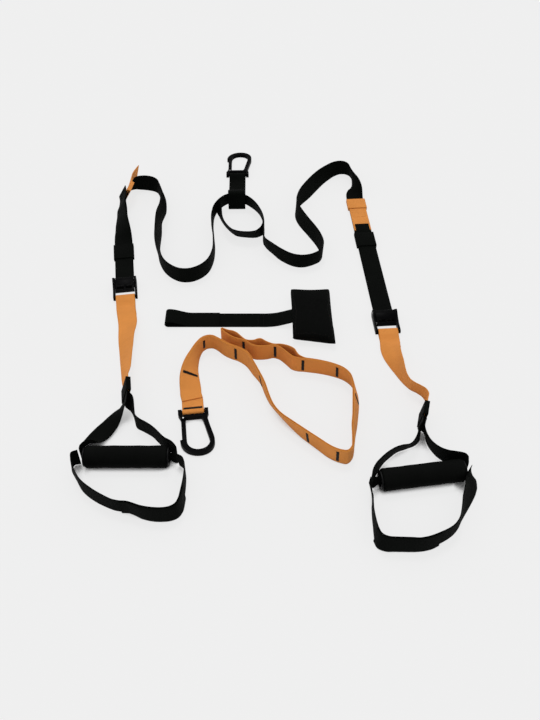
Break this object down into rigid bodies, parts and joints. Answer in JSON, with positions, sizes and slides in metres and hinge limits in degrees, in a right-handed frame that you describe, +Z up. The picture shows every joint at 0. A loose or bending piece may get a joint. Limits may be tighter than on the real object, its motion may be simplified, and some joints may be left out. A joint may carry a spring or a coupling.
{
  "type": "suspension trainer",
  "caption": "Suspension trainer strap with cam buckles, padded grips with foot cradles, anchor carabiner, looped extension strap and padded door anchor.",
  "frame": {"origin": "middle of the laid-out set's footprint, on the floor it lies on", "axes": "+Y towards the anchor carabiner, +Z up from the floor, +X to the right handle"},
  "size_m": [0.6848, 1.0926, 0.0442],
  "materials": {
    "black_coated_metal": "black powder coat",
    "black_foam": "soft foam sleeve",
    "black_plastic": "moulded",
    "black_webbing": "woven polyester webbing",
    "orange_webbing": "woven polyester webbing",
    "steel": "plain"
  },
  "bodies": {
    "strap_set": {"main_strap_left": "black_webbing", "main_strap_middle": "black_webbing", "main_strap_right": "black_webbing", "equaliser_loop": "black_webbing", "anchor_tab": "black_webbing", "left_adjuster_tab": "orange_webbing", "left_adjuster_band": "orange_webbing", "right_adjuster_tab": "orange_webbing", "right_adjuster_band": "orange_webbing", "left_buckle_frame": "black_coated_metal", "right_buckle_frame": "black_coated_metal", "left_cam_pin": "steel", "right_cam_pin": "steel", "left_cam_spring": "steel", "right_cam_spring": "steel"},
    "anchor_clip": {"anchor_carabiner_body": "black_coated_metal", "anchor_carabiner_gate_pin": "steel"},
    "anchor_gate": {"anchor_carabiner_gate": "black_coated_metal"},
    "left_lever": {"left_cam_lever": "black_coated_metal"},
    "right_lever": {"right_cam_lever": "black_coated_metal"},
    "left_keeper_ring": {"left_keeper": "black_webbing"},
    "right_keeper_ring": {"right_keeper": "black_webbing"},
    "left_riser": {"left_riser_strap": "orange_webbing", "left_apex_wrap": "black_webbing", "left_handle_strap": "black_webbing"},
    "left_grip": {"left_foam_grip": "black_foam", "left_grip_tube": "black_plastic", "left_grip_cap_left": "black_plastic", "left_grip_cap_right": "black_plastic"},
    "left_cradle": {"left_foot_cradle": "black_webbing", "left_cradle_lining": "black_webbing"},
    "right_riser": {"right_riser_strap": "orange_webbing", "right_apex_wrap": "black_webbing", "right_handle_strap": "black_webbing"},
    "right_grip": {"right_foam_grip": "black_foam", "right_grip_tube": "black_plastic", "right_grip_cap_left": "black_plastic", "right_grip_cap_right": "black_plastic"},
    "right_cradle": {"right_foot_cradle": "black_webbing", "right_cradle_lining": "black_webbing"},
    "door_anchor": {"door_anchor_pad": "black_webbing", "door_anchor_strap": "black_webbing"},
    "extension": {"extension_strap_outer": "orange_webbing", "extension_strap_inner": "orange_webbing"},
    "extension_clip": {"extension_carabiner_body": "black_coated_metal", "extension_carabiner_gate_pin": "steel"},
    "extension_gate": {"extension_carabiner_gate": "black_coated_metal"}
  },
  "joints": [
    {"name": "anchor_clip_swing", "type": "hinge", "parent": "strap_set", "child": "anchor_clip", "pos_m": [-0.07234, 0.45365, 0.00659], "axis": [0.9998, 0.0174, 0], "range_deg": [-90, 110]},
    {"name": "anchor_gate_hinge", "type": "hinge", "parent": "anchor_clip", "child": "anchor_gate", "pos_m": [-0.09059, 0.46753, 0.00643], "axis": [0.0002, -0.0108, -0.9999], "range_deg": [0, 28], "stiffness_Nm_per_rad": 0.05, "springref_deg": -11.46},
    {"name": "extension_clip_swing", "type": "hinge", "parent": "extension", "child": "extension_clip", "pos_m": [-0.1294, -0.27534, 0.00659], "axis": [-0.9925, -0.1219, 0], "range_deg": [-90, 110]},
    {"name": "extension_gate_hinge", "type": "hinge", "parent": "extension_clip", "child": "extension_gate", "pos_m": [-0.14554, -0.29162, 0.00643], "axis": [0.0013, -0.0107, 0.9999], "range_deg": [0, 28], "stiffness_Nm_per_rad": 0.05, "springref_deg": -11.46},
    {"name": "left_keeper_slide", "type": "slide", "parent": "strap_set", "child": "left_keeper_ring", "axis": [-0.1478, 0.989, 0], "range_m": [-0.045, 0.002]},
    {"name": "right_keeper_slide", "type": "slide", "parent": "strap_set", "child": "right_keeper_ring", "axis": [-0.0715, 0.9974, 0], "range_m": [-0.165, 0]},
    {"name": "door_anchor_lift", "type": "slide", "parent": "strap_set", "child": "door_anchor", "axis": [0, 0, 1], "range_m": [0, 0.3]},
    {"name": "extension_lift", "type": "slide", "parent": "strap_set", "child": "extension", "axis": [0, 0, 1], "range_m": [0, 0.3]},
    {"name": "left_lever_hinge", "type": "hinge", "parent": "strap_set", "child": "left_lever", "pos_m": [-0.29197, 0.06494, 0.01641], "axis": [-0.989, -0.1478, 0], "range_deg": [0, 50], "stiffness_Nm_per_rad": 0.08, "springref_deg": -17.19},
    {"name": "left_riser_swing", "type": "hinge", "parent": "strap_set", "child": "left_riser", "pos_m": [-0.28576, 0.0234, 0.00619], "axis": [-0.989, -0.1478, 0], "range_deg": [-60, 75]},
    {"name": "left_grip_spin", "type": "hinge", "parent": "left_riser", "child": "left_grip", "pos_m": [-0.2311, -0.38124, 0.01959], "axis": [1, 0, 0], "continuous": true},
    {"name": "left_cradle_swing", "type": "hinge", "parent": "left_riser", "child": "left_cradle", "pos_m": [-0.2311, -0.38124, 0.01959], "axis": [-1, 0, 0], "range_deg": [-30, 75]},
    {"name": "right_lever_hinge", "type": "hinge", "parent": "strap_set", "child": "right_lever", "pos_m": [0.22918, -0.03166, 0.01641], "axis": [-0.9974, -0.0715, 0], "range_deg": [0, 50], "stiffness_Nm_per_rad": 0.08, "springref_deg": -17.19},
    {"name": "right_riser_swing", "type": "hinge", "parent": "strap_set", "child": "right_riser", "pos_m": [0.23218, -0.07355, 0.00619], "axis": [-0.9974, -0.0715, 0], "range_deg": [-60, 75]},
    {"name": "right_grip_spin", "type": "hinge", "parent": "right_riser", "child": "right_grip", "pos_m": [0.2512, -0.41754, 0.01959], "axis": [0.9893, 0.1461, 0], "continuous": true},
    {"name": "right_cradle_swing", "type": "hinge", "parent": "right_riser", "child": "right_cradle", "pos_m": [0.2512, -0.41754, 0.01959], "axis": [-0.9893, -0.1461, 0], "range_deg": [-8, 35]}
  ]
}
